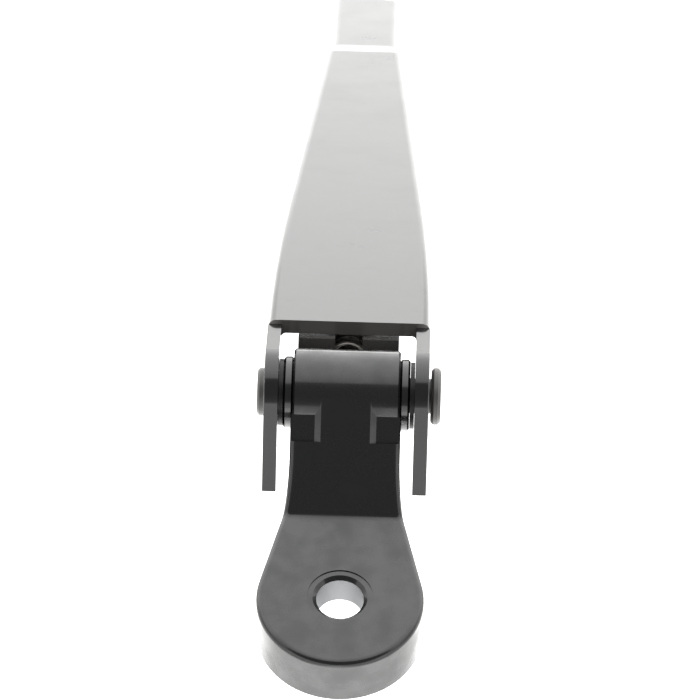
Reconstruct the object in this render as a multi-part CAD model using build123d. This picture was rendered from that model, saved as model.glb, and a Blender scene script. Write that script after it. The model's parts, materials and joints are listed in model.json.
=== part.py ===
from build123d import *
from math import acos, asin, atan2, cos, degrees, hypot, radians, sin
import os

# Windscreen wiper arm, in millimetres.
# The origin is on the spindle axis, at the lower mouth of the spindle bore.
# +Z points up along the spindle, +Y from the spindle towards the arm, +X to the right.
# The arm is drawn in its own axes: the hinge at their origin, Y along the arm, Z up out of its top plate.

# Pad and spindle bore
BORE_R = 4.0
BORE_LENGTH = 6.2
BORE_EDGE = 0.65
NUT_SEAT_R = 5.6
NUT_SEAT_DEPTH = 0.2
PAD_R = 14.2
PAD_THICK = 10.5
PAD_LOW_EDGE = 0.6
RECESS_R = 9.0
CAST_EDGE = 1.1

# Neck, from the pad up to the hinge
BEND_Y = 17.0
BEND_HALF = 10.4
BEND_FILLET = 2.0
NECK_HALF = 9.4
NECK_STRAIGHT_Y = 25.0
RIB_HALF = 4.2
RIB_SIDE = 1.05
FACE_POCKET_LENGTH = 7.4
FACE_POCKET_DEPTH = 0.55
FACE_POCKET_START = -2.0
CORE_HALF = 6.2
CORE_START = 4.0
CORE_START_DEPTH = 3.8
CORE_MIDDLE = 11.0
CORE_MIDDLE_DEPTH = 7.0
CORE_END = 17.0
CORE_END_DEPTH = 4.6

# Hinge
HINGE_Y = 36.4
HINGE_RISE = 9.3
BARREL_R = 7.6
BARREL_HALF = 9.1
BARREL_EDGE = 0.3
PIN_R = 3.0
PIN_HEAD_R = 4.9
PIN_HEAD_THICK = 1.7
PIN_HEAD_EDGE = 0.5
PIN_STANDOFF = 0.35
RIVET_R = 4.1
RIVET_THICK = 1.25
RIVET_EDGE = 0.4
BUSH_WALL = 1.0
BUSH_DEPTH = 6.0
BUSH_FLANGE_R = 6.2
BUSH_FLANGE_THICK = 1.7
BUSH_FLANGE_EDGE = 0.35
WASHER_R = 5.7
WASHER_THICK = 0.75
AXIAL_PLAY = 0.05
PIN_CLEARANCE = 0.04
PRESS_CLEARANCE = 0.01

# Arm channel
DROOP = 30.0
SHEET = 2.4
PLATE_BEND = 1.5
PLATE_BEND_INSIDE = 0.8
PLATE_TOP = 9.0
PLATE_REAR = 11.2
EAR_TOP = 8.2
EAR_FRONT = -8.2
EAR_BOTTOM = -15.1
EAR_NOSE_R = 7.2
EAR_EDGE = 0.25
TAPER_START = 74.0
TAPER_SLOPE = 0.055
SHOULDER_START = 163.0
CRIMP_START = 171.0
CRIMP_END = 201.0
CRIMP_DROP = 1.2
CRIMP_SEAM_HALF = 0.8

# Flat rod and its blade hook
ROD_HALF = 4.0
ROD_THICK = 3.0
ROD_EDGE = 0.5
ROD_END = 395.0
ROD_CRANK_DROP = 1.8
ROD_CRANK_START = 162.0
ROD_CRANK_END = 156.0
BLADE_HOOK_R = 3.5
BLADE_HOOK_RETURN = 18.0
ROD_EYE_Y = 151.0
ROD_EYE_MARGIN = 4.2
ROD_INNER_CORNER = 3.0

# Spring, its hook and its pin
SPRING_PIN_R = 1.5
SPRING_PIN_OFFSET = 7.0
SPRING_PIN_ANGLE = -45.0
SPRING_BOSS_R = 3.6
SPRING_R = 4.0
WIRE = 1.5
LOOP_R = 3.1
LOOP_SEAT = 0.75
LOOP_MERGE = 1.0
EYE_R = 2.0
HOOK_THICK = 2.5
HOOK_WIDTH = 2.5
HOOK_CORNER = 1.0
HOOK_SEAT = 0.5
HOOK_CURL_TOP = -3.4
HOOK_LEG_TOP = -8.45
HOOK_THROAT = 3.9
HOOK_EYE_AHEAD = 15.5
HOOK_EYE_MARGIN = 3.4

# Tail of the head, behind the hinge
TAIL_INSET = 0.4
TAIL_END = 13.6
HEEL_START = 9.6
HEEL_FOOT = 2.6
TAIL_LOW = 2.5
TAIL_CORNER = 1.0
STOP_GAP = 0.25
SLOT_HALF = 2.4
SLOT_FRONT_LOW = -1.0
SLOT_FRONT_TOP = 2.2

# Length of a cut that goes right through, and limits for picking edges
REACH = 60.0
ON_FACE = 0.01
ACROSS_ANGLE = 2.5
ALONG_ANGLE = 25.0

# Worked out from the sizes above
PAD_TOP = BORE_LENGTH
PAD_BOTTOM = BORE_LENGTH - PAD_THICK
HINGE_Z = PAD_TOP + HINGE_RISE
BUSH_R = PIN_R + BUSH_WALL
TAIL_HALF = BARREL_HALF - TAIL_INSET
EAR_INNER = BARREL_HALF + BUSH_FLANGE_THICK + WASHER_THICK + 2 * AXIAL_PLAY
EAR_OUTER = EAR_INNER + SHEET
PLATE_UNDER = PLATE_TOP - SHEET
CRIMP_TOP = PLATE_TOP - CRIMP_DROP
CRIMP_HALF = ROD_HALF + SHEET
ROD_TOP = CRIMP_TOP - SHEET
ROD_UNDER = ROD_TOP - ROD_THICK
CRIMP_BOTTOM = ROD_UNDER - SHEET
SPRING_PIN_Y = SPRING_PIN_OFFSET * cos(radians(SPRING_PIN_ANGLE))
SPRING_PIN_Z = SPRING_PIN_OFFSET * sin(radians(SPRING_PIN_ANGLE))
ANCHOR_Y = ROD_EYE_Y - EYE_R + WIRE / 2 + LOOP_SEAT
ANCHOR_Z = ROD_UNDER + ROD_THICK / 2 - ROD_CRANK_DROP
SPRING_LENGTH = hypot(ANCHOR_Y - SPRING_PIN_Y, ANCHOR_Z - SPRING_PIN_Z)
SPRING_SLOPE = atan2(ANCHOR_Z - SPRING_PIN_Z, ANCHOR_Y - SPRING_PIN_Y)

# Places of the arm's axes, and of the spring's line, which starts at the spring pin
ARM = Location((0, HINGE_Y, HINGE_Z), (-DROOP, 0, 0))
SPRING_LINE = Location((0, SPRING_PIN_Y, SPRING_PIN_Z), (degrees(SPRING_SLOPE), 0, 0))


def side_prism(face, half_width):
    """A side-view outline, Y across and Z up, thickened to both sides of the middle plane."""
    return extrude(Plane.YZ * face, half_width, both=True)


def side_polygon(*points):
    """A straight-sided face in the side view."""
    return make_face(Polyline(*points, close=True))


def cross_bar(radius, x_from, x_to, y=0.0, z=0.0):
    """A round bar that lies across the arm, from one X to another."""
    bar = Cylinder(radius, x_to - x_from, align=(Align.CENTER, Align.CENTER, Align.MIN))
    return Location((x_from, y, z), (0, 90, 0)) * bar


def tangent_slope(point, centre, radius, side):
    """The angle of the line from a point that touches a circle, on its left (+1) or its right (-1)."""
    run = hypot(centre[0] - point[0], centre[1] - point[1])
    return atan2(centre[1] - point[1], centre[0] - point[0]) + side * asin(radius / run)


def touch_point(centre, radius, slope, side):
    """Where that line touches the circle."""
    return (centre[0] - side * radius * sin(slope), centre[1] + side * radius * cos(slope))


def arm_to_head(y, z):
    """A point of the arm's side view, in the head's axes."""
    turn = radians(DROOP)
    return (HINGE_Y + y * cos(turn) + z * sin(turn), HINGE_Z - y * sin(turn) + z * cos(turn))


def across_edges(shape):
    """The edges that do not run straight across the arm."""
    return [edge for edge in shape.edges() if abs(edge.tangent_at(0.5).X) < cos(radians(ACROSS_ANGLE))]


def edges_at(shape, axis, place):
    """The edges whose middle is at one place along an axis."""
    return shape.edges().filter_by_position(axis, place - ON_FACE, place + ON_FACE)


def make_head():
    """Die-cast head: round pad, sloped neck with a middle rib, hinge barrel, and a slotted tail behind it."""
    hinge = (HINGE_Y, HINGE_Z)
    boss = arm_to_head(SPRING_PIN_Y, SPRING_PIN_Z)

    # Pad, round at the spindle and drawn in to the bend
    bend_line = Line((-BEND_HALF, BEND_Y), (BEND_HALF, BEND_Y))
    pad_plan = make_hull(Circle(PAD_R).edges() + bend_line.edges())
    pad = extrude(Pos(0, 0, PAD_BOTTOM) * pad_plan, PAD_THICK)

    # Neck, with its front face tangent to the barrel and its underside tangent to the spring pin's boss
    front_slope = tangent_slope((BEND_Y, PAD_TOP), hinge, BARREL_R, 1)
    front_end = touch_point(hinge, BARREL_R, front_slope, 1)
    under_slope = tangent_slope((BEND_Y, PAD_BOTTOM), boss, SPRING_BOSS_R, -1)
    under_end = touch_point(boss, SPRING_BOSS_R, under_slope, -1)
    neck_side = side_polygon((BEND_Y, PAD_TOP), front_end, hinge, boss, under_end, (BEND_Y, PAD_BOTTOM))
    flare = atan2(BEND_Y, BEND_HALF) - acos(PAD_R / hypot(BEND_HALF, BEND_Y))
    right_flare = Spline(
        (BEND_HALF, BEND_Y),
        (NECK_HALF, NECK_STRAIGHT_Y),
        tangents=((-sin(flare), cos(flare)), (0, 1)),
    )
    neck_plan = make_face(
        [
            bend_line,
            right_flare,
            Polyline(
                (NECK_HALF, NECK_STRAIGHT_Y),
                (NECK_HALF, REACH),
                (-NECK_HALF, REACH),
                (-NECK_HALF, NECK_STRAIGHT_Y),
            ),
            mirror(right_flare, about=Plane.YZ),
        ]
    )
    neck = extrude(Pos(0, 0, -REACH) * neck_plan, 2 * REACH) & side_prism(neck_side, 2 * NECK_HALF)
    body = pad + neck

    # Inside corner at the bend, and one rounding round the pad's rim and up both sides of the neck
    bend_edges = edges_at(body, Axis.Y, BEND_Y).filter_by(Axis.X)
    body = fillet(bend_edges.sort_by(Axis.Z)[-1:], BEND_FILLET)
    front_normal = Vector(0, -sin(front_slope), cos(front_slope))
    front_point = Vector(0, *front_end)

    def on_top(edge):
        middle = edge.position_at(0.5)
        above_face = (middle - front_point).dot(front_normal)
        in_bend = PAD_TOP < middle.Z < PAD_TOP + BEND_FILLET and abs(middle.Y - BEND_Y) < BEND_FILLET
        return abs(middle.Z - PAD_TOP) < ON_FACE or abs(above_face) < ON_FACE or in_bend

    body = fillet([edge for edge in across_edges(body) if on_top(edge)], CAST_EDGE)
    low_rim = [edge for edge in across_edges(body) if edge.position_at(0.5).Z < PAD_BOTTOM + ON_FACE]
    body = chamfer(low_rim, PAD_LOW_EDGE)

    # Two shallow pockets in the front face, one on each side of the rib
    def on_front(down, depth):
        y = front_end[0] - down * cos(front_slope) + depth * sin(front_slope)
        z = front_end[1] - down * sin(front_slope) - depth * cos(front_slope)
        return (y, z)

    pocket_side = side_polygon(
        on_front(FACE_POCKET_START, -FACE_POCKET_DEPTH),
        on_front(FACE_POCKET_START, FACE_POCKET_DEPTH),
        on_front(FACE_POCKET_LENGTH, FACE_POCKET_DEPTH),
        on_front(FACE_POCKET_LENGTH, -FACE_POCKET_DEPTH),
    )
    face_plane = Plane((0, *front_end), x_dir=(1, 0, 0), z_dir=(0, -cos(front_slope), -sin(front_slope)))
    rib_section = make_face(
        Polyline(
            (RIB_HALF - RIB_SIDE, FACE_POCKET_DEPTH),
            (RIB_HALF + 2 * RIB_SIDE, -2 * FACE_POCKET_DEPTH),
            (-RIB_HALF - 2 * RIB_SIDE, -2 * FACE_POCKET_DEPTH),
            (RIB_SIDE - RIB_HALF, FACE_POCKET_DEPTH),
            close=True,
        )
    )
    rib = extrude(face_plane * rib_section, REACH, both=True)
    body -= side_prism(pocket_side, 2 * NECK_HALF) - rib

    # Hollow under the neck
    def on_under(along, depth):
        y = BEND_Y + along * cos(under_slope) - depth * sin(under_slope)
        z = PAD_BOTTOM + along * sin(under_slope) + depth * cos(under_slope)
        return (y, z)

    core_side = side_polygon(
        on_under(CORE_START, -CORE_START_DEPTH),
        on_under(CORE_START, CORE_START_DEPTH),
        on_under(CORE_MIDDLE, CORE_MIDDLE_DEPTH),
        on_under(CORE_END, CORE_END_DEPTH),
        on_under(CORE_END, -CORE_START_DEPTH),
    )
    body -= side_prism(core_side, CORE_HALF)

    # Barrel with both ends faced off, spring pin boss, and a tail that rises to a heel, the arm's stop
    barrel = cross_bar(BARREL_R, -BARREL_HALF, BARREL_HALF)
    barrel = chamfer(barrel.edges().filter_by(GeomType.CIRCLE), BARREL_EDGE)
    spring_pin = (SPRING_PIN_Y, SPRING_PIN_Z)
    stop = PLATE_UNDER - STOP_GAP
    tail_slope = tangent_slope((TAIL_END, TAIL_LOW), spring_pin, SPRING_BOSS_R, 1)
    tail_side = side_polygon(
        (0, 0),
        (HEEL_START, HEEL_FOOT),
        (HEEL_START, stop),
        (TAIL_END, stop),
        (TAIL_END, TAIL_LOW),
        touch_point(spring_pin, SPRING_BOSS_R, tail_slope, 1),
        spring_pin,
    )
    tail = side_prism(tail_side, TAIL_HALF)
    tail = fillet(edges_at(tail, Axis.Y, TAIL_END).filter_by(Axis.X), TAIL_CORNER)
    tail += cross_bar(SPRING_BOSS_R, -TAIL_HALF, TAIL_HALF, SPRING_PIN_Y, SPRING_PIN_Z)
    end_facing = cross_bar(BARREL_R, BARREL_HALF, REACH)
    body -= ARM * (end_facing + mirror(end_facing, about=Plane.YZ))
    body += ARM * (barrel + tail)

    # Slot for the spring hook, and the bores of both pins
    slot_side = side_polygon(
        (SLOT_FRONT_LOW, -REACH),
        (SLOT_FRONT_LOW, 0),
        (SLOT_FRONT_TOP, 0),
        (SLOT_FRONT_TOP, REACH),
        (REACH, REACH),
        (REACH, -REACH),
    )
    cuts = side_prism(slot_side, SLOT_HALF)
    cuts += cross_bar(BUSH_R, -REACH, REACH)
    cuts += cross_bar(SPRING_PIN_R, -REACH, REACH, SPRING_PIN_Y, SPRING_PIN_Z)
    body -= ARM * cuts

    # Spindle bore, with a spot-faced nut seat above it and a recess below
    body -= Pos(0, 0, PAD_TOP) * Cylinder(NUT_SEAT_R, 2 * NUT_SEAT_DEPTH)
    body -= Cylinder(BORE_R, 2 * PAD_THICK)
    body -= Cylinder(RECESS_R, PAD_THICK, align=(Align.CENTER, Align.CENTER, Align.MAX))
    seat = PAD_TOP - NUT_SEAT_DEPTH
    bore_mouth = edges_at(body, Axis.Z, seat).filter_by(GeomType.CIRCLE)
    return chamfer(bore_mouth.sort_by(SortBy.RADIUS)[:1], BORE_EDGE)


def make_bush():
    """Right flanged bush: a sleeve pressed into the barrel and a flange against the barrel's end."""
    flange = cross_bar(BUSH_FLANGE_R, BARREL_HALF, BARREL_HALF + BUSH_FLANGE_THICK)
    flange = chamfer(flange.edges().filter_by(GeomType.CIRCLE), BUSH_FLANGE_EDGE)
    sleeve = cross_bar(BUSH_R - PRESS_CLEARANCE, BARREL_HALF - BUSH_DEPTH, BARREL_HALF)
    return ARM * (flange + sleeve - cross_bar(PIN_R + PIN_CLEARANCE, 0, REACH))


def make_washer():
    """Right thin washer, between the bush's flange and the ear."""
    near = BARREL_HALF + BUSH_FLANGE_THICK + AXIAL_PLAY
    washer = cross_bar(WASHER_R, near, near + WASHER_THICK)
    return ARM * (washer - cross_bar(PIN_R + PIN_CLEARANCE, 0, REACH))


def make_hinge_pin():
    """Hinge rivet: a formed head flush on the left ear, and a loose flat head standing off the right ear."""
    head_start = EAR_OUTER + PIN_STANDOFF
    head = cross_bar(PIN_HEAD_R, head_start, head_start + PIN_HEAD_THICK)
    head = chamfer(head.edges().filter_by(GeomType.CIRCLE), PIN_HEAD_EDGE)
    rivet = cross_bar(RIVET_R, -EAR_OUTER - RIVET_THICK, -EAR_OUTER)
    rivet_rim = rivet.edges().filter_by(GeomType.CIRCLE).sort_by(Axis.X)[:1]
    rivet = chamfer(rivet_rim, RIVET_EDGE)
    return ARM * (cross_bar(PIN_R, -EAR_OUTER, head_start) + head + rivet)


def channel_plan(inset):
    """Plan of the channel behind its ears: an easy curve, a straight taper, a shoulder and the crimp."""
    front = PLATE_REAR - SHEET
    ear = EAR_OUTER - inset
    crimp = CRIMP_HALF - inset
    taper_half = ear - TAPER_SLOPE * (TAPER_START - PLATE_REAR) / 2
    shoulder_half = taper_half - TAPER_SLOPE * (SHOULDER_START - TAPER_START)
    right = [
        Line((ear, front), (ear, PLATE_REAR)),
        TangentArc((ear, PLATE_REAR), (taper_half, TAPER_START), tangent=(0, 1)),
        Line((taper_half, TAPER_START), (shoulder_half, SHOULDER_START)),
        Spline(
            (shoulder_half, SHOULDER_START),
            (crimp, CRIMP_START),
            tangents=((-TAPER_SLOPE, 1), (0, 1)),
        ),
        Line((crimp, CRIMP_START), (crimp, CRIMP_END)),
    ]
    left = [mirror(edge, about=Plane.YZ) for edge in right]
    ends = [Line((-ear, front), (ear, front)), Line((-crimp, CRIMP_END), (crimp, CRIMP_END))]
    return make_face(right + left + ends)


def channel_side(inset, front, low_points):
    """Side view of the channel: its top steps down to the crimp, and the rest follows the given points."""
    top = PLATE_TOP - inset
    crimp = CRIMP_TOP - inset
    step = Spline((SHOULDER_START, top), (CRIMP_START, crimp), tangents=((1, 0), (1, 0)))
    top_line = Line((front, top), (SHOULDER_START, top))
    return make_face([top_line, step, Polyline((CRIMP_START, crimp), *low_points, (front, top))])


def channel_block(inset, front, low_points, bend_radius):
    """The channel's plan and side view together, with its two long top edges bent round."""
    block = extrude(Pos(0, 0, -REACH) * channel_plan(inset), 2 * REACH)
    block &= side_prism(channel_side(inset, front, low_points), REACH)
    upper = [edge for edge in across_edges(block) if edge.position_at(0.5).Z > ROD_TOP - ON_FACE]
    nearly_along = cos(radians(ALONG_ANGLE))
    return fillet([edge for edge in upper if abs(edge.tangent_at(0.5).Y) > nearly_along], bend_radius)


def make_ear():
    """Right ear: square below, round about the hinge pin above, with its outer rim rounded off."""
    outline = side_polygon(
        (EAR_FRONT, EAR_TOP),
        (PLATE_REAR, EAR_TOP),
        (PLATE_REAR, EAR_BOTTOM),
        (EAR_FRONT, EAR_BOTTOM),
    )
    outline = fillet(outline.vertices().sort_by(Axis.X)[:2].sort_by(Axis.Y)[-1:], EAR_NOSE_R)
    ear = Pos(EAR_INNER, 0, 0) * extrude(Plane.YZ * outline, SHEET)
    rim = edges_at(ear, Axis.X, EAR_OUTER)
    rim = rim.filter_by_position(Axis.Y, EAR_FRONT - ON_FACE, PLATE_REAR - ON_FACE)
    return fillet(rim.filter_by_position(Axis.Z, EAR_BOTTOM + ON_FACE, EAR_TOP + ON_FACE), EAR_EDGE)


def make_channel():
    """Pressed steel channel: two ears at the hinge, an open underside, and a crimp folded round the rod."""
    outside_low = (
        (CRIMP_END, CRIMP_TOP),
        (CRIMP_END, CRIMP_BOTTOM),
        (CRIMP_START, CRIMP_BOTTOM),
        (PLATE_REAR, EAR_BOTTOM),
    )
    open_front = PLATE_REAR - SHEET
    inside_low = ((CRIMP_START, -REACH), (open_front, -REACH))
    channel = channel_block(0, PLATE_REAR, outside_low, PLATE_BEND)
    channel -= channel_block(SHEET, open_front, inside_low, PLATE_BEND_INSIDE)

    # Room for the rod in the crimp, and the seam left between its two folded lips
    rod_room = side_polygon(
        (SHOULDER_START, ROD_UNDER),
        (CRIMP_END, ROD_UNDER),
        (CRIMP_END, ROD_TOP),
        (SHOULDER_START, ROD_TOP),
    )
    seam = side_polygon(
        (CRIMP_START, CRIMP_BOTTOM),
        (CRIMP_END, CRIMP_BOTTOM),
        (CRIMP_END, ROD_UNDER),
        (CRIMP_START, ROD_UNDER),
    )
    channel -= side_prism(rod_room, ROD_HALF)
    channel -= side_prism(seam, CRIMP_SEAM_HALF)

    # Ears, pierced for the hinge pin
    ear = make_ear()
    channel += ear + mirror(ear, about=Plane.YZ)
    return ARM * (channel - cross_bar(PIN_R + PRESS_CLEARANCE, -REACH, REACH))


def make_rod():
    """Flat rod: pierced and cranked at its inner end, held by the crimp, bent to a hook for the blade."""
    inner_end = ROD_EYE_Y - ROD_EYE_MARGIN
    outside_r = BLADE_HOOK_R + ROD_THICK
    bend_y = ROD_END - outside_r
    bend_z = ROD_UNDER - BLADE_HOOK_R
    return_y = bend_y - BLADE_HOOK_RETURN
    rod_side = make_face(
        [
            Polyline(
                (inner_end, ROD_UNDER - ROD_CRANK_DROP),
                (inner_end, ROD_TOP - ROD_CRANK_DROP),
                (ROD_CRANK_END, ROD_TOP - ROD_CRANK_DROP),
                (ROD_CRANK_START, ROD_TOP),
                (bend_y, ROD_TOP),
            ),
            ThreePointArc((bend_y, ROD_TOP), (ROD_END, bend_z), (bend_y, bend_z - outside_r)),
            Polyline(
                (bend_y, bend_z - outside_r),
                (return_y, bend_z - outside_r),
                (return_y, bend_z - BLADE_HOOK_R),
                (bend_y, bend_z - BLADE_HOOK_R),
            ),
            ThreePointArc(
                (bend_y, bend_z - BLADE_HOOK_R),
                (bend_y + BLADE_HOOK_R, bend_z),
                (bend_y, ROD_UNDER),
            ),
            Polyline(
                (bend_y, ROD_UNDER),
                (ROD_CRANK_START, ROD_UNDER),
                (ROD_CRANK_END, ROD_UNDER - ROD_CRANK_DROP),
                (inner_end, ROD_UNDER - ROD_CRANK_DROP),
            ),
        ]
    )
    rod = side_prism(rod_side, ROD_HALF)
    rod = fillet(edges_at(rod, Axis.Y, inner_end).filter_by(Axis.Z), ROD_INNER_CORNER)
    rod = chamfer(across_edges(rod), ROD_EDGE)
    rod -= Pos(0, ROD_EYE_Y, 0) * Cylinder(EYE_R, REACH)
    return ARM * rod


def make_spring():
    """Tension spring as a plain tube over its coils, with one end loop lying flat and the other upright."""
    near_loop = HOOK_EYE_AHEAD + EYE_R - WIRE / 2 - LOOP_SEAT + LOOP_R
    far_loop = SPRING_LENGTH - LOOP_R
    coils = far_loop - near_loop - 2 * LOOP_MERGE
    tube = Cylinder(SPRING_R, coils, align=(Align.CENTER, Align.CENTER, Align.MAX))
    tube -= Cylinder(SPRING_R - WIRE, coils, align=(Align.CENTER, Align.CENTER, Align.MAX))
    spring = Location((0, near_loop + LOOP_MERGE, 0), (90, 0, 0)) * tube
    loop = Cylinder(LOOP_R + WIRE / 2, WIRE) - Cylinder(LOOP_R - WIRE / 2, WIRE)
    spring += Pos(0, near_loop, 0) * loop
    spring += Location((0, far_loop, 0), (0, 90, 0)) * loop
    return ARM * SPRING_LINE * spring


def make_spring_hook():
    """Flat stamped hook: a curl in front of the spring pin, and an eye for the spring's loop."""
    curl_in = SPRING_PIN_Y - SPRING_PIN_R - HOOK_SEAT
    curl_out = curl_in - HOOK_WIDTH
    leg_low = HOOK_LEG_TOP - HOOK_WIDTH
    throat_end = (curl_in + HOOK_THROAT, HOOK_LEG_TOP)
    eye = (
        SPRING_PIN_Y + HOOK_EYE_AHEAD * cos(SPRING_SLOPE),
        SPRING_PIN_Z + HOOK_EYE_AHEAD * sin(SPRING_SLOPE),
    )
    leg_end = (throat_end[0], leg_low)
    top_slope = tangent_slope(throat_end, eye, HOOK_EYE_MARGIN, 1)
    low_slope = tangent_slope(leg_end, eye, HOOK_EYE_MARGIN, -1)
    outline = side_polygon(
        (curl_out, HOOK_CURL_TOP),
        (curl_in, HOOK_CURL_TOP),
        (curl_in, HOOK_LEG_TOP),
        throat_end,
        touch_point(eye, HOOK_EYE_MARGIN, top_slope, 1),
        eye,
        touch_point(eye, HOOK_EYE_MARGIN, low_slope, -1),
        leg_end,
        (curl_out, leg_low),
    )
    curl_corners = outline.vertices().filter_by_position(Axis.X, curl_out, curl_in)
    outline = fillet(curl_corners, HOOK_CORNER)
    outline += Pos(*eye) * Circle(HOOK_EYE_MARGIN)
    outline -= Pos(*eye) * Circle(EYE_R)
    return ARM * side_prism(outline, HOOK_THICK / 2)


def make_spring_pin():
    """Cross pin in the head's tail that the spring hook pulls on."""
    return ARM * cross_bar(SPRING_PIN_R - PRESS_CLEARANCE, -TAIL_HALF, TAIL_HALF, SPRING_PIN_Y, SPRING_PIN_Z)


bush = make_bush()
washer = make_washer()
parts = {
    "arm_head": make_head(),
    "left_bush": mirror(bush, about=Plane.YZ),
    "right_bush": bush,
    "left_washer": mirror(washer, about=Plane.YZ),
    "right_washer": washer,
    "hinge_pin": make_hinge_pin(),
    "arm_channel": make_channel(),
    "arm_rod": make_rod(),
    "tension_spring": make_spring(),
    "spring_hook": make_spring_hook(),
    "spring_pin": make_spring_pin(),
}
os.makedirs("parts", exist_ok=True)
for name, shape in parts.items():
    export_step(shape, f"parts/{name}.step")
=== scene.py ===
# %% [markdown]
# A windscreen wiper arm seen from its spindle end: a die-cast head, a riveted hinge, a pressed steel
# channel that runs away from the viewer, and a flat rod crimped into the channel's far end.
# The solids come ready made, in metres, with every piece in its place. This lesson dresses them: it
# gives each one the finish of the real piece, winds the spring, and sets up the light and the camera.

# %% Load the solids
import json
from math import cos, pi, radians, sin

import bpy
from mathutils import Matrix, Vector


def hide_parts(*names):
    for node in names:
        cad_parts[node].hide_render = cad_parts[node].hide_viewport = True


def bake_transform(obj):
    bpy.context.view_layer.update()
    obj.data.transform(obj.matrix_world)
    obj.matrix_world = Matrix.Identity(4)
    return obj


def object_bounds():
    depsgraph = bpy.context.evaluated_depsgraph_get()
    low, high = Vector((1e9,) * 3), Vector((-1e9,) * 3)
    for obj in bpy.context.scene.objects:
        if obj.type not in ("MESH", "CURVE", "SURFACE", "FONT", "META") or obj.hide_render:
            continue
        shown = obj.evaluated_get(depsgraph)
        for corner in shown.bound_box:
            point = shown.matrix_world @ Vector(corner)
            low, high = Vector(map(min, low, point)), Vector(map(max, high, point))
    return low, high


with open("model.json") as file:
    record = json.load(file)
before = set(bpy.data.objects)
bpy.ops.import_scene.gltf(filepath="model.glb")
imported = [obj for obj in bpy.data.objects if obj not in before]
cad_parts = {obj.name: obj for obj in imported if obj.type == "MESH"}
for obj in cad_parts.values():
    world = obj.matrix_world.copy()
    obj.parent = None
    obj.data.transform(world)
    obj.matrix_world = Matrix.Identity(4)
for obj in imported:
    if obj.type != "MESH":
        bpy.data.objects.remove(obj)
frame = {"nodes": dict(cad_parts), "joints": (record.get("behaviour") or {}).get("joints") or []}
solids_box = [list(corner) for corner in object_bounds()]
nodes = frame["nodes"]
joints = {joint["name"]: joint for joint in frame["joints"]}
print("solids:", sorted(nodes))

# %% [markdown]
# All sizes are thought of in millimetres and all objects are in metres, so one value turns the first
# into the second. The hinge's place and the spring's line are read from the joints. The arm droops
# below the head's pad, and its two directions, along the plate and out of it, follow from that angle.

# %% Sizes that are used again
MM = 0.001
DROOP = radians(30.0)
hinge = Vector(joints["arm_hinge"]["pos_m"])
along_arm = Vector((0.0, cos(DROOP), -sin(DROOP)))
out_of_plate = Vector((0.0, sin(DROOP), cos(DROOP)))
along_spring = -Vector(joints["hook_slide"]["axis"]).normalized()
print("hinge at", [round(v / MM, 2) for v in hinge], "mm")

# %% [markdown]
# Colours are picked as sRGB hex values, as a paint card gives them, and the shader wants linear light.
# One function does that change. A second one adds a node, sets it up and links it, so that each finish
# below reads as a short list of what the eye sees in it. A Mix node has the same socket names once for
# numbers and once for colours, so its sockets are told apart by their places.

# %% Helpers for finishes
MIX_SHARE = 0
NUMBER_FIRST, NUMBER_SECOND, NUMBER_MIXED = 2, 3, 0
COLOUR_FIRST, COLOUR_SECOND, COLOUR_MIXED = 6, 7, 2


def linear(hex_colour):
    """An sRGB hex colour as linear red, green, blue and alpha."""
    parts = [int(hex_colour[i : i + 2], 16) / 255 for i in (1, 3, 5)]
    light = [v / 12.92 if v <= 0.04045 else ((v + 0.055) / 1.055) ** 2.4 for v in parts]
    return (*light, 1.0)


def add(tree, kind, values=None, links=None, **settings):
    """Adds a node to a tree, with its settings, the constants of its sockets, and their links."""
    node = tree.nodes.new(kind)
    for name, value in settings.items():
        setattr(node, name, value)
    for socket, value in (values or {}).items():
        node.inputs[socket].default_value = value
    for socket, source in (links or {}).items():
        tree.links.new(source, node.inputs[socket])
    return node


def new_finish(name):
    """An empty material with its output and the coordinates that every pattern here reads."""
    finish = bpy.data.materials.new(name)
    finish.use_nodes = True
    finish.node_tree.nodes.clear()
    tree = finish.node_tree
    output = add(tree, "ShaderNodeOutputMaterial")
    place = add(tree, "ShaderNodeTexCoord", name="place").outputs["Object"]
    return finish, tree, output, place


print("mid grey reads", [round(v, 3) for v in linear("#808080")[:3]])

# %% [markdown]
# Black stoved enamel covers the head, the channel and the rod, and the arm is painted after it is
# riveted, so it covers the rivet and the rims of the bushes as well. It is sprayed on and baked, which
# leaves a hard gloss film with a faint orange peel about a millimetre across. One rough black shader
# would look like rubber, because black paint shows almost nothing but reflections. So the film is a
# clear coat over a dark base, the base's roughness wanders with soft patches a few millimetres wide,
# and a few grains of dust are caught in it. Real dust is finer, and is drawn this coarse to show.

# %% Stoved enamel
ENAMEL_IOR = 1.5
ENAMEL_BLACK, DUST_GREY = "#0E0E0F", "#242322"
NOISE_LOW, NOISE_HIGH = 0.3, 0.7
GLOSSIER, DULLER = 0.05, 0.08
DUST_MM, DUST_MOST = 0.6, 0.35
DUST_FROM, DUST_TO = 0.62, 0.8
PEEL_STRENGTH, PEEL_DEPTH_MM = 0.12, 0.03


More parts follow.
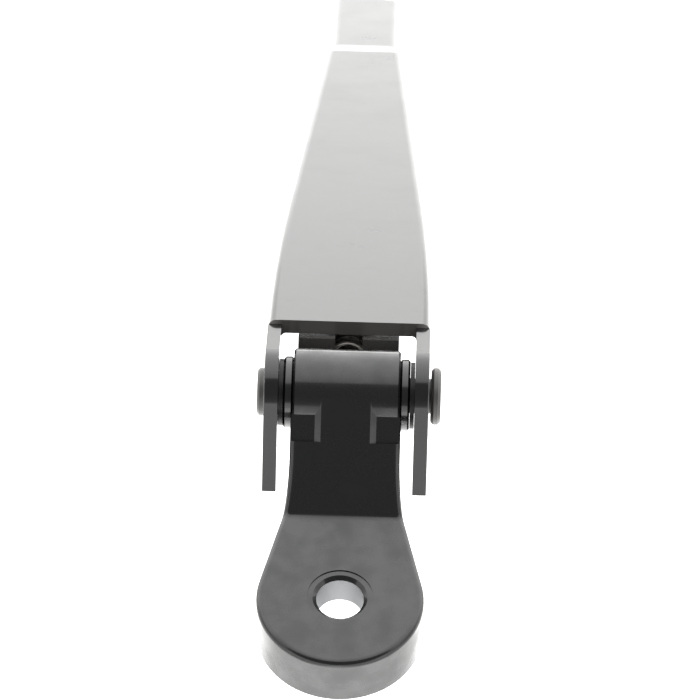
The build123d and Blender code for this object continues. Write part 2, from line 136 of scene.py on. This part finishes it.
def stoved_enamel(name, peel_mm, patch_mm, base_rough, film_rough, black=ENAMEL_BLACK, dust_grey=DUST_GREY):
    """Baked black enamel, with orange peel, patches of gloss and a little dust."""
    finish, tree, output, place = new_finish(name)
    peel = add(
        tree,
        "ShaderNodeTexNoise",
        {"Scale": 1 / (peel_mm * MM), "Detail": 1.5},
        {"Vector": place},
        name="peel",
    )
    patch = add(
        tree,
        "ShaderNodeTexNoise",
        {"Scale": 1 / (patch_mm * MM), "Detail": 4.0},
        {"Vector": place},
        name="patch",
    )
    rough = add(
        tree,
        "ShaderNodeMapRange",
        {
            "From Min": NOISE_LOW,
            "From Max": NOISE_HIGH,
            "To Min": base_rough - GLOSSIER,
            "To Max": base_rough + DULLER,
        },
        {"Value": patch.outputs["Fac"]},
    )
    dust = add(
        tree,
        "ShaderNodeTexNoise",
        {"Scale": 1 / (DUST_MM * MM), "Detail": 6.0},
        {"Vector": place},
    )
    dusty = add(
        tree,
        "ShaderNodeMapRange",
        {"From Min": DUST_FROM, "From Max": DUST_TO, "To Min": 0.0, "To Max": DUST_MOST},
        {"Value": dust.outputs["Fac"]},
    )
    colour = add(
        tree,
        "ShaderNodeMix",
        {COLOUR_FIRST: linear(black), COLOUR_SECOND: linear(dust_grey)},
        {MIX_SHARE: dusty.outputs["Result"]},
        data_type="RGBA",
    )
    relief = add(
        tree,
        "ShaderNodeBump",
        {"Strength": PEEL_STRENGTH, "Distance": PEEL_DEPTH_MM * MM},
        {"Height": peel.outputs["Fac"]},
        name="relief",
    )
    film = add(
        tree,
        "ShaderNodeBsdfPrincipled",
        {"IOR": ENAMEL_IOR, "Coat Weight": 1.0, "Coat Roughness": film_rough, "Coat IOR": ENAMEL_IOR},
        {
            "Base Color": colour.outputs[COLOUR_MIXED],
            "Roughness": rough.outputs["Result"],
            "Normal": relief.outputs["Normal"],
            "Coat Normal": relief.outputs["Normal"],
        },
        name="film",
    )
    tree.links.new(film.outputs["BSDF"], output.inputs["Surface"])
    return finish


print("black enamel reads", [round(v, 4) for v in linear(ENAMEL_BLACK)[:3]])

# %% [markdown]
# What lies under the enamel changes it a little. The casting is rough and the pressed sheet is smooth,
# so one recipe with a few sizes gives them all. The rivet's heads are hammered, and the film over them
# is thinner, greyer and duller than elsewhere.

# %% Enamel on four grounds
GLOSS_FILM, DULL_FILM = 0.06, 0.4
enamel_on_zinc = stoved_enamel(
    "stoved_enamel_on_die_cast_zinc",
    peel_mm=1.6,
    patch_mm=4.5,
    base_rough=0.26,
    film_rough=GLOSS_FILM,
)
enamel_on_steel = stoved_enamel(
    "stoved_enamel_on_pressed_steel",
    peel_mm=1.3,
    patch_mm=9.0,
    base_rough=0.2,
    film_rough=GLOSS_FILM,
)
enamel_on_bushes = stoved_enamel(
    "stoved_enamel_over_moulded_acetal",
    peel_mm=1.0,
    patch_mm=3.0,
    base_rough=0.22,
    film_rough=GLOSS_FILM,
)
enamel_on_rivet = stoved_enamel(
    "stoved_enamel_on_hammered_rivet",
    peel_mm=0.8,
    patch_mm=2.0,
    base_rough=0.5,
    film_rough=DULL_FILM,
    black="#4D4C49",
    dust_grey="#5C5A57",
)
enamels = (enamel_on_zinc, enamel_on_steel, enamel_on_bushes, enamel_on_rivet)
print("finishes:", *[finish.name for finish in enamels])

# %% [markdown]
# Paint is never the same everywhere. Two whole shaders could be mixed, but the exported model keeps its
# finish better when one shader has mixed sockets. So a share from 0 to 1 is worked out from where a point
# lies, and each socket of the film that changes gets a mix by that share. Places on the arm are told by
# how far they lie from the hinge, along the arm and out of its plate.

# %% Helpers for places on a finish


def change_over(tree, share, values):
    """Lets sockets of the film change over from what they have to other values, by a share from 0 to 1."""
    film = tree.nodes["film"]
    for name, value in values.items():
        socket = film.inputs[name]
        if socket.type == "RGBA":
            kind, first, second, mixed = "RGBA", COLOUR_FIRST, COLOUR_SECOND, COLOUR_MIXED
        else:
            kind, first, second, mixed = "FLOAT", NUMBER_FIRST, NUMBER_SECOND, NUMBER_MIXED
        mix = add(tree, "ShaderNodeMix", {second: value}, {MIX_SHARE: share}, data_type=kind)
        if socket.is_linked:
            tree.links.new(socket.links[0].from_socket, mix.inputs[first])
        else:
            mix.inputs[first].default_value = socket.default_value
        tree.links.new(mix.outputs[mixed], socket)


def from_hinge(tree, direction):
    """How far a point lies from the hinge, along a direction."""
    place = tree.nodes["place"].outputs["Object"]
    reach = add(tree, "ShaderNodeVectorMath", {1: direction}, {0: place}, operation="DOT_PRODUCT")
    start = hinge.dot(direction)
    far = add(tree, "ShaderNodeMath", {1: start}, {0: reach.outputs["Value"]}, operation="SUBTRACT")
    return far.outputs["Value"]


print("hinge lies", round(hinge.dot(along_arm) / MM, 2), "mm along the arm's line")

# %% [markdown]
# The head is a casting. Over its rough skin the film is uneven, so the pad's gloss is mottled. A pattern
# in the base's roughness alone would stay hidden under a clear coat as even as glass, so the coat gets
# weaker in the same soft patches. Behind the hinge the head lies in deep shade under the plate, and there
# a lighter grey base is painted in, under a weaker coat. This is painted light that lifts that shade.

# %% Mottled film on the casting, and painted light behind the hinge
THINNEST_FILM = 0.66
THICK_PATCH, THIN_PATCH = 0.36, 0.64
TAIL_LIFT_FROM_MM, TAIL_LIFT_TO_MM = 4.0, 7.0
# Painted light: a lighter grey base behind the hinge lifts the shade under the plate.
TAIL_PAINTED_LIGHT_GREY, TAIL_COAT_WEIGHT = "#474644", 0.4
cast_tree = enamel_on_zinc.node_tree
thickness = add(
    cast_tree,
    "ShaderNodeMapRange",
    {"From Min": THICK_PATCH, "From Max": THIN_PATCH, "To Min": 1.0, "To Max": THINNEST_FILM},
    {"Value": cast_tree.nodes["patch"].outputs["Fac"]},
)
cast_tree.links.new(thickness.outputs["Result"], cast_tree.nodes["film"].inputs["Coat Weight"])
# Share of the painted light, growing from the first to the second distance behind the hinge.
painted_lift = add(
    cast_tree,
    "ShaderNodeMapRange",
    {"From Min": TAIL_LIFT_FROM_MM * MM, "From Max": TAIL_LIFT_TO_MM * MM},
    {"Value": from_hinge(cast_tree, along_arm)},
)
change_over(cast_tree, painted_lift.outputs["Result"], {"Base Color": linear(TAIL_PAINTED_LIGHT_GREY), "Coat Weight": TAIL_COAT_WEIGHT})
print("film down to", THINNEST_FILM, "and dry from", TAIL_LIFT_FROM_MM, "mm behind the hinge")

# %% [markdown]
# The spindle bore is bored after painting, so its wall is bare zinc with turning marks. A second material
# would need the wall's faces to be picked out of the solid, which stays as it is. The wall is told by its
# radius instead. Turning marks are finer on the real wall, and are drawn this coarse so that they show.

# %% Where the bare bore lies
BORE_R_MM, BORE_MARGIN_MM = 4.0, 0.03
cast_place = cast_tree.nodes["place"].outputs["Object"]
cast_axes = add(cast_tree, "ShaderNodeSeparateXYZ", links={"Vector": cast_place})
across_bore = add(
    cast_tree,
    "ShaderNodeCombineXYZ",
    links={"X": cast_axes.outputs["X"], "Y": cast_axes.outputs["Y"]},
)
radius = add(
    cast_tree,
    "ShaderNodeVectorMath",
    links={0: across_bore.outputs["Vector"]},
    operation="LENGTH",
)
bare = add(
    cast_tree,
    "ShaderNodeMath",
    {1: (BORE_R_MM + BORE_MARGIN_MM) * MM},
    {0: radius.outputs["Value"]},
    operation="LESS_THAN",
).outputs["Value"]
print("bore bare inside", BORE_R_MM, "mm")

# %% Bare turned zinc in the bore
TOOL_MARK_MM = 0.691
WAVE_RADIANS = 20.0  # a wave texture turns through this angle over each unit of its scaled coordinate
turning = add(
    cast_tree,
    "ShaderNodeTexWave",
    {"Scale": 2 * pi / (WAVE_RADIANS * TOOL_MARK_MM * MM), "Distortion": 1.5, "Detail": 2.0},
    {"Vector": cast_place},
    wave_type="BANDS",
    bands_direction="Z",
)
height = add(
    cast_tree,
    "ShaderNodeMix",
    links={
        MIX_SHARE: bare,
        NUMBER_FIRST: cast_tree.nodes["peel"].outputs["Fac"],
        NUMBER_SECOND: turning.outputs["Fac"],
    },
)
cast_tree.links.new(height.outputs[NUMBER_MIXED], cast_tree.nodes["relief"].inputs["Height"])
zinc = {"Base Color": linear("#929395"), "Roughness": 0.5, "Metallic": 1.0, "Coat Weight": 0.0}
change_over(cast_tree, bare, zinc)
print("turning marks", TOOL_MARK_MM, "mm apart")

# %% [markdown]
# The plate's edge above the hinge was sheared before painting. It mirrors the dark back of the barrel and
# lies in shade, so a lighter grey is painted on it: painted light that lifts that shade. It is the only
# place on the steel that lies this near to the hinge and this high, so it is told by those two distances.
# Over the ears it starts higher, at the ears' own top.

# %% Where the sheared edge lies
EDGE_BEFORE_MM, EDGE_LOW_MM = 11.3, 6.0
EAR_TOP_MM = 8.22
EAR_INSIDE_MM, EAR_OUTSIDE_MM = 11.6, 14.0
sheet_tree = enamel_on_steel.node_tree
sheet_place = sheet_tree.nodes["place"].outputs["Object"]
sheet_axes = add(sheet_tree, "ShaderNodeSeparateXYZ", links={"Vector": sheet_place})
from_middle = add(sheet_tree, "ShaderNodeMath", links={0: sheet_axes.outputs["X"]}, operation="ABSOLUTE")
over_ears = add(
    sheet_tree,
    "ShaderNodeMath",
    {1: EAR_INSIDE_MM * MM},
    {0: from_middle.outputs["Value"]},
    operation="GREATER_THAN",
)
lowest_grey = add(
    sheet_tree,
    "ShaderNodeMath",
    {1: (EAR_TOP_MM - EDGE_LOW_MM) * MM, 2: EDGE_LOW_MM * MM},
    {0: over_ears.outputs["Value"]},
    operation="MULTIPLY_ADD",
)
high_enough = add(
    sheet_tree,
    "ShaderNodeMath",
    links={0: from_hinge(sheet_tree, out_of_plate), 1: lowest_grey.outputs["Value"]},
    operation="GREATER_THAN",
)
near_enough = add(
    sheet_tree,
    "ShaderNodeMath",
    {1: EDGE_BEFORE_MM * MM},
    {0: from_hinge(sheet_tree, along_arm)},
    operation="LESS_THAN",
)
# Where the edge's painted light goes: near the hinge and high on the plate.
painted_edge_light = add(
    sheet_tree,
    "ShaderNodeMath",
    links={0: high_enough.outputs["Value"], 1: near_enough.outputs["Value"]},
    operation="MULTIPLY",
).outputs["Value"]
print("sheared edge within", EDGE_BEFORE_MM, "mm of the hinge")

# %% [markdown]
# Along the plate the edge is an even painted grey. At the ends of the two bends, over the ears, it grows
# lighter towards the outside: a painted highlight on the corners of the bends.

# %% Painted light on the sheared edge
# Painted light: a lighter grey on the shaded edge, and a painted highlight growing outwards at the bends'
# ends.
EDGE_PAINTED_LIGHT_GREY, BEND_PAINTED_HIGHLIGHT = "#5A5856", "#A3A19D"
outward = add(
    sheet_tree,
    "ShaderNodeMapRange",
    {"From Min": EAR_INSIDE_MM * MM, "From Max": EAR_OUTSIDE_MM * MM},
    {"Value": from_middle.outputs["Value"]},
)
bend_highlight_share = add(
    sheet_tree,
    "ShaderNodeMath",
    links={0: painted_edge_light, 1: outward.outputs["Result"]},
    operation="MULTIPLY",
)
change_over(sheet_tree, painted_edge_light, {"Base Color": linear(EDGE_PAINTED_LIGHT_GREY)})
change_over(sheet_tree, bend_highlight_share.outputs["Value"], {"Base Color": linear(BEND_PAINTED_HIGHLIGHT)})
print("edge grey", EDGE_PAINTED_LIGHT_GREY, "and up to", BEND_PAINTED_HIGHLIGHT, "at the ends of the bends")

# %% [markdown]
# The smaller pieces that paint doesn't reach have finishes of their own. The washers between the bushes
# and the ears are blackened steel, the spring's hook and its pin are zinc-plated steel, and the spring is
# of steel wire, drawn through a die, with a grey satin skin. All three have one fine, even grain, so one
# function makes them, and that grain sways colour, roughness and relief together. On the real pieces it
# is finer still, and is drawn this coarse so that it shows.

# %% Finish with a fine grain
GRAIN_STRENGTH = 0.3


def plain_finish(name, dark, light, metallic, rough_low, rough_high, grain_mm, grain_depth_mm):
    """A finish from one grain: it sways the colour between two hex values, the roughness and the relief."""
    finish, tree, output, place = new_finish(name)
    grain = add(
        tree,
        "ShaderNodeTexNoise",
        {"Scale": 1 / (grain_mm * MM), "Detail": 3.0},
        {"Vector": place},
    )
    colour = add(
        tree,
        "ShaderNodeMix",
        {COLOUR_FIRST: linear(dark), COLOUR_SECOND: linear(light)},
        {MIX_SHARE: grain.outputs["Fac"]},
        data_type="RGBA",
    )
    rough = add(
        tree,
        "ShaderNodeMapRange",
        {"From Min": NOISE_LOW, "From Max": NOISE_HIGH, "To Min": rough_low, "To Max": rough_high},
        {"Value": grain.outputs["Fac"]},
    )
    relief = add(
        tree,
        "ShaderNodeBump",
        {"Strength": GRAIN_STRENGTH, "Distance": grain_depth_mm * MM},
        {"Height": grain.outputs["Fac"]},
    )
    surface = add(
        tree,
        "ShaderNodeBsdfPrincipled",
        {"Metallic": metallic},
        {
            "Base Color": colour.outputs[COLOUR_MIXED],
            "Roughness": rough.outputs["Result"],
            "Normal": relief.outputs["Normal"],
        },
    )
    tree.links.new(surface.outputs["BSDF"], output.inputs["Surface"])
    return finish


print("grain stands out by", GRAIN_STRENGTH, "of its depth")

# %% Finishes of the small pieces
blackened_steel = plain_finish(
    "blackened_turned_steel",
    dark="#1B1B1C",
    light="#2C2C2D",
    metallic=0.3,
    rough_low=0.3,
    rough_high=0.45,
    grain_mm=0.5,
    grain_depth_mm=0.02,
)
plated_steel = plain_finish(
    "zinc_plated_stamped_steel",
    dark="#7D7F82",
    light="#A9ABAD",
    metallic=1.0,
    rough_low=0.3,
    rough_high=0.45,
    grain_mm=0.9,
    grain_depth_mm=0.015,
)
spring_wire = plain_finish(
    "drawn_spring_steel_wire",
    dark="#5A5855",
    light="#83807B",
    metallic=1.0,
    rough_low=0.28,
    rough_high=0.42,
    grain_mm=0.6,
    grain_depth_mm=0.02,
)
print("finishes:", blackened_steel.name, plated_steel.name, spring_wire.name)

# %% [markdown]
# A solid keeps its shape and takes its finish through its material slot. Every solid that stays in view
# gets one here, by name.

# %% Dress the solids
dress = {
    "arm_head": enamel_on_zinc,
    "arm_channel": enamel_on_steel,
    "arm_rod": enamel_on_steel,
    "hinge_pin": enamel_on_rivet,
    "left_bush": enamel_on_bushes,
    "right_bush": enamel_on_bushes,
    "left_washer": blackened_steel,
    "right_washer": blackened_steel,
    "spring_hook": plated_steel,
    "spring_pin": plated_steel,
}
for name, finish in dress.items():
    nodes[name].data.materials.clear()
    nodes[name].data.materials.append(finish)
print("dressed", len(dress), "of", len(nodes), "solids")

# %% [markdown]
# The tension spring lies inside the channel and is seen from below. It is one wire: a long close coil with
# a loop bent up at each end, one lying flat in the hook's eye and one standing in the rod's eye. The solid
# has a plain tube for the coil. A wound coil could be modelled point by point, but it follows a rule, so
# it is made by Geometry Nodes from named sizes: a spiral for the coil, a circle for each loop, and one
# round profile swept along all three.

# %% Sizes of the spring
SPRING_PIN_OFFSET_MM = 7.0
NEAR_LOOP_MM = 19.1
FAR_LOOP_MM = 142.62
COIL_R_MM = 3.25
WIRE_R_MM = 0.75
LOOP_R_MM = 3.1
TURNS = 52.0
COIL_STEPS, LOOP_STEPS, WIRE_SIDES = 26, 40, 12
spring_sizes = {
    "Coil radius": COIL_R_MM * MM,
    "Wire radius": WIRE_R_MM * MM,
    "Loop radius": LOOP_R_MM * MM,
    "Near loop": NEAR_LOOP_MM * MM,
    "Far loop": FAR_LOOP_MM * MM,
    "Turns": TURNS,
}
pull_point = hinge + (along_arm - out_of_plate) * (SPRING_PIN_OFFSET_MM * MM * cos(radians(45)))
print("spring", round(FAR_LOOP_MM - NEAR_LOOP_MM, 1), "mm between its loops")

# %% Lines that the spring's wire follows
LYING, STANDING = (0.0, 0.0, 0.0), (0.0, radians(90), 0.0)
ALONG_Y = (radians(-90), 0.0, 0.0)


def coil_line(tree, given):
    """The coil, along the Y axis, which fills the room between the two loops."""
    near, far, loop_r = given["Near loop"], given["Far loop"], given["Loop radius"]
    gap = add(tree, "ShaderNodeMath", links={0: far, 1: near}, operation="SUBTRACT")
    both_loops = add(tree, "ShaderNodeMath", {1: 2.0}, {0: loop_r}, operation="MULTIPLY")
    room = add(
        tree,
        "ShaderNodeMath",
        links={0: gap.outputs["Value"], 1: both_loops.outputs["Value"]},
        operation="SUBTRACT",
    )
    start = add(tree, "ShaderNodeMath", links={0: near, 1: loop_r}, operation="ADD")
    coil = add(
        tree,
        "GeometryNodeCurveSpiral",
        {"Resolution": COIL_STEPS},
        {
            "Rotations": given["Turns"],
            "Start Radius": given["Coil radius"],
            "End Radius": given["Coil radius"],
            "Height": room.outputs["Value"],
        },
    )
    place = add(tree, "ShaderNodeCombineXYZ", links={"Y": start.outputs["Value"]})
    return add(
        tree,
        "GeometryNodeTransform",
        {"Rotation": ALONG_Y},
        {"Geometry": coil.outputs["Curve"], "Translation": place.outputs["Vector"]},
    )


def loop_line(tree, given, which, turn):
    """One of the two loops, round its place on the Y axis."""
    ring = add(
        tree,
        "GeometryNodeCurvePrimitiveCircle",
        {"Resolution": LOOP_STEPS},
        {"Radius": given["Loop radius"]},
    )
    place = add(tree, "ShaderNodeCombineXYZ", links={"Y": given[which]})
    return add(
        tree,
        "GeometryNodeTransform",
        {"Rotation": turn},
        {"Geometry": ring.outputs["Curve"], "Translation": place.outputs["Vector"]},
    )


print("coil of", TURNS, "turns, with", COIL_STEPS, "steps in each")

# %% The spring's node tree


def spring_tree():
    """The spring's node group, with named sizes: one wire swept along the coil and both loops."""
    tree = bpy.data.node_groups.new("tension_spring_winding", "GeometryNodeTree")
    sockets = {}
    for name in spring_sizes:
        made = tree.interface.new_socket(name, in_out="INPUT", socket_type="NodeSocketFloat")
        sockets[name] = made.identifier
    finish = tree.interface.new_socket("Finish", in_out="INPUT", socket_type="NodeSocketMaterial")
    tree.interface.new_socket("Geometry", in_out="OUTPUT", socket_type="NodeSocketGeometry")
    given = add(tree, "NodeGroupInput").outputs
    lines = [coil_line(tree, given)]
    lines.append(loop_line(tree, given, "Near loop", LYING))
    lines.append(loop_line(tree, given, "Far loop", STANDING))
    wire = add(tree, "GeometryNodeJoinGeometry")
    for line in lines:
        tree.links.new(line.outputs["Geometry"], wire.inputs["Geometry"])
    profile = add(
        tree,
        "GeometryNodeCurvePrimitiveCircle",
        {"Resolution": WIRE_SIDES},
        {"Radius": given["Wire radius"]},
    )
    swept = add(
        tree,
        "GeometryNodeCurveToMesh",
        {"Fill Caps": True},
        {"Curve": wire.outputs["Geometry"], "Profile Curve": profile.outputs["Curve"]},
    )
    smooth = add(tree, "GeometryNodeSetShadeSmooth", links={"Geometry": swept.outputs["Mesh"]})
    real = add(tree, "GeometryNodeRealizeInstances", links={"Geometry": smooth.outputs["Geometry"]})
    dressed = add(
        tree,
        "GeometryNodeSetMaterial",
        links={"Geometry": real.outputs["Geometry"], "Material": given["Finish"]},
    )
    add(tree, "NodeGroupOutput", links={"Geometry": dressed.outputs["Geometry"]})
    return tree, sockets, finish.identifier


winding_tree, size_sockets, finish_socket = spring_tree()
print("spring tree:", len(winding_tree.nodes), "nodes")

# %% Wind the spring
winder = bpy.data.objects.new("spring_winder", bpy.data.meshes.new("spring_winder"))
bpy.context.scene.collection.objects.link(winder)
winding = winder.modifiers.new("winding", "NODES")
winding.node_group = winding_tree
for name, value in spring_sizes.items():
    winding[size_sockets[name]] = value
winding[finish_socket] = spring_wire
bpy.context.view_layer.update()
wound = winder.evaluated_get(bpy.context.evaluated_depsgraph_get())
spring_mesh = bpy.data.meshes.new_from_object(wound)
bpy.data.objects.remove(winder)
print("wound", len(spring_mesh.polygons), "faces")

# %% [markdown]
# The spring is wound along its own axis and then laid on its line, from the pin in the head towards the
# rod. On the real arm it stretches as the arm folds up, with its far end following the arm and its near end
# the hook.

# %% Lay the spring on its line
sideways = Vector((1.0, 0.0, 0.0))
spring_axes = Matrix((sideways, along_spring, sideways.cross(along_spring))).transposed().to_4x4()
spring_mesh.transform(Matrix.Translation(pull_point) @ spring_axes)
spring = bpy.data.objects.new("wound_spring", spring_mesh)
bpy.context.scene.collection.objects.link(spring)
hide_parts("tension_spring")
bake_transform(spring)
print("spring:", len(spring.data.polygons), "faces, material", spring.data.materials[0].name)

# %% [markdown]
# The floor is a white light table. A sheet bent up at the back would hide the horizon, but gloss black
# would show its bend. So it is one flat square just below the arm, and a white background takes over
# at its rim.

# %% Floor
FLOOR_GAP = 2 * MM
FLOOR_HALF = 6.0
CORNERS = ((-1, -1), (1, -1), (1, 1), (-1, 1))
lowest = solids_box[0][2] - FLOOR_GAP
floor_mesh = bpy.data.meshes.new("light_table")
floor_corners = [(x * FLOOR_HALF, y * FLOOR_HALF, lowest) for x, y in CORNERS]
floor_mesh.from_pydata(floor_corners, [], [(0, 1, 2, 3)])
floor = bpy.data.objects.new("light_table", floor_mesh)
bpy.context.scene.collection.objects.link(floor)
print("floor at", round(lowest / MM, 1), "mm")

# %% [markdown]
# Gloss black shows the floor too: the channel's top looks along it towards the far side, and the pad's
# wall looks at the strip just in front. So the table's own glow is a strip under the arm, a little
# stronger in front and again past the arm's middle. Lamps could do this, but they would show as spots in
# the gloss. Beside the strip the table is plainly white, which keeps the arm's flanks black.

# %% Glow of the floor
GLOW_FROM, GLOW_TO = -0.5, 1.5
GLOW = (
    (0.0, 1.3),
    (0.175, 1.45),
    (0.29, 1.25),
    (0.45, 1.1),
    (0.6, 1.3),
    (0.68, 0.82),
    (0.85, 0.56),
    (1.0, 0.5),
)
STRIP_INSIDE, STRIP_OUTSIDE = 0.09, 0.22
TABLE_WHITE, TABLE_ROUGH = "#F4F4F2", 0.9


def set_greys(ramp, stops):
    """Sets the greys of a ramp: each stop is a place from 0 to 1 and a brightness."""
    marks = ramp.color_ramp.elements
    while len(marks) < len(stops):
        marks.new(0.5)
    for mark, (place, grey) in zip(marks, stops):
        mark.position = place
        mark.color = (grey, grey, grey, 1.0)


table_finish, table_tree, table_output, table_place = new_finish("white_light_table")
table_axes = add(table_tree, "ShaderNodeSeparateXYZ", links={"Vector": table_place})
table_along = add(
    table_tree,
    "ShaderNodeMapRange",
    {"From Min": GLOW_FROM, "From Max": GLOW_TO},
    {"Value": table_axes.outputs["Y"]},
)
table_glow = add(table_tree, "ShaderNodeValToRGB", links={"Fac": table_along.outputs["Result"]})
set_greys(table_glow, GLOW)
table_across = add(table_tree, "ShaderNodeMath", links={0: table_axes.outputs["X"]}, operation="ABSOLUTE")
table_fade = add(
    table_tree,
    "ShaderNodeMapRange",
    {"From Min": STRIP_INSIDE, "From Max": STRIP_OUTSIDE, "To Min": 1.0, "To Max": 0.0},
    {"Value": table_across.outputs["Value"]},
    interpolation_type="SMOOTHSTEP",
)
table_surface = add(
    table_tree,
    "ShaderNodeBsdfPrincipled",
    {"Base Color": linear(TABLE_WHITE), "Roughness": TABLE_ROUGH},
    {"Emission Color": table_glow.outputs["Color"], "Emission Strength": table_fade.outputs["Result"]},
)
table_tree.links.new(table_surface.outputs["BSDF"], table_output.inputs["Surface"])
floor_mesh.materials.append(table_finish)
print("floor has", len(GLOW), "shades of glow")

# %% [markdown]
# Gloss black is lit by what it reflects, so the light here is a white light tent: white cloth on all
# sides, with one dark opening in front, where a photographer would stand. The opening has a clear edge and
# is about twice as wide as it is high. Faces that look straight out of it, such as the neck, come out
# nearly black, and the others show the cloth or the table. Panels with lamps behind them could make it,
# but a tent is simply a bright world: the angle from the opening's middle gives the brightness.

# %% Dark opening of the tent
OPENING_UP = radians(48.0)
OPENING_WIDTH = 2.2
CLOTH = ((0.315, 0.1), (0.365, 0.56), (0.62, 0.82), (1.0, 1.0))
tent = bpy.data.worlds.new("light_tent")
tent.use_nodes = True
tent_tree = tent.node_tree
tent_tree.nodes.clear()
tent_out = add(tent_tree, "ShaderNodeOutputWorld")
looking = add(tent_tree, "ShaderNodeTexCoord").outputs["Generated"]
narrowed = add(
    tent_tree,
    "ShaderNodeVectorMath",
    {1: (1 / OPENING_WIDTH, 1.0, 1.0)},
    {0: looking},
    operation="MULTIPLY",
)
aim = add(tent_tree, "ShaderNodeVectorMath", links={0: narrowed.outputs["Vector"]}, operation="NORMALIZE")
facing = add(
    tent_tree,
    "ShaderNodeVectorMath",
    {1: (0.0, -cos(OPENING_UP), sin(OPENING_UP))},
    {0: aim.outputs["Vector"]},
    operation="DOT_PRODUCT",
)
angle = add(tent_tree, "ShaderNodeMath", links={0: facing.outputs["Value"]}, operation="ARCCOSINE")
quarter_turns = add(
    tent_tree,
    "ShaderNodeMath",
    {1: radians(90)},
    {0: angle.outputs["Value"]},
    operation="DIVIDE",
)
cloth = add(tent_tree, "ShaderNodeValToRGB", links={"Fac": quarter_turns.outputs["Value"]})
set_greys(cloth, CLOTH)
print("tent has", len(CLOTH), "shades from its opening to its back")

# %% [markdown]
# The cloth at the two sides hangs in shade, so that the arm's flanks look black and not grey from there.
# The picture's own background is kept a plain white, whatever the tent does.

# %% Sides of the tent and the world
TENT_LIGHT = 2.06
SIDES = ((0.0, 1.0), (0.8, 1.0), (0.97, 0.4), (1.0, 0.3))
WHITE = (1.0, 1.0, 1.0, 1.0)
tent_axes = add(tent_tree, "ShaderNodeSeparateXYZ", links={"Vector": looking})
far_side = add(tent_tree, "ShaderNodeMath", links={0: tent_axes.outputs["X"]}, operation="ABSOLUTE")
wings = add(tent_tree, "ShaderNodeValToRGB", links={"Fac": far_side.outputs["Value"]})
set_greys(wings, SIDES)
whole = add(
    tent_tree,
    "ShaderNodeMix",
    {MIX_SHARE: 1.0},
    {COLOUR_FIRST: cloth.outputs["Color"], COLOUR_SECOND: wings.outputs["Color"]},
    data_type="RGBA",
    blend_type="MULTIPLY",
)
tent_light = add(
    tent_tree,
    "ShaderNodeBackground",
    {"Strength": TENT_LIGHT},
    {"Color": whole.outputs[COLOUR_MIXED]},
)
plain_white = add(tent_tree, "ShaderNodeBackground", {"Color": WHITE, "Strength": 1.0})
seen_by = add(tent_tree, "ShaderNodeLightPath")
background = add(
    tent_tree,
    "ShaderNodeMixShader",
    links={
        0: seen_by.outputs["Is Camera Ray"],
        1: tent_light.outputs["Background"],
        2: plain_white.outputs["Background"],
    },
)
tent_tree.links.new(background.outputs["Shader"], tent_out.inputs["Surface"])
bpy.context.scene.world = tent
print("tent light", TENT_LIGHT)

# %% [markdown]
# The camera looks down on the pad from the spindle end, about fifty degrees up, through a long lens. It
# aims at the hinge, and a small shift puts the hinge a little below the middle of the square picture. A
# constraint could aim it, but would leave no say over its roll. So its three axes are worked out from
# three angles, and each angle can be matched to the photograph by itself.

# %% Camera's axes
CAMERA_UP = radians(51.21)
CAMERA_ROUND = radians(0.9)
CAMERA_ROLL = radians(0.95)
level = Vector((cos(CAMERA_ROUND), sin(CAMERA_ROUND), 0.0))
forward = Vector((-sin(CAMERA_ROUND), cos(CAMERA_ROUND), 0.0))
back = Vector((0.0, 0.0, sin(CAMERA_UP))) - forward * cos(CAMERA_UP)
upright = back.cross(level)
right = level * cos(CAMERA_ROLL) + upright * sin(CAMERA_ROLL)
up = upright * cos(CAMERA_ROLL) - level * sin(CAMERA_ROLL)
camera_axes = Matrix((right, up, back)).transposed().to_4x4()
print("camera looks along", [round(-v, 3) for v in back])

# %% Camera
CAMERA_DISTANCE = 1.0
LENS_MM, SENSOR_MM = 300.3, 36.0
SHIFT_X, SHIFT_Y = 0.0046, 0.0626
NEAREST = 0.01
lens = bpy.data.cameras.new("long_lens")
lens.lens = LENS_MM
lens.sensor_width = SENSOR_MM
lens.shift_x = SHIFT_X
lens.shift_y = SHIFT_Y
lens.clip_start = NEAREST
camera = bpy.data.objects.new("camera", lens)
bpy.context.scene.collection.objects.link(camera)
camera.matrix_world = Matrix.Translation(hinge + back * CAMERA_DISTANCE) @ camera_axes
bpy.context.scene.camera = camera
bpy.context.scene.view_settings.view_transform = "Standard"
print("camera at", [round(v, 3) for v in camera.matrix_world.translation])
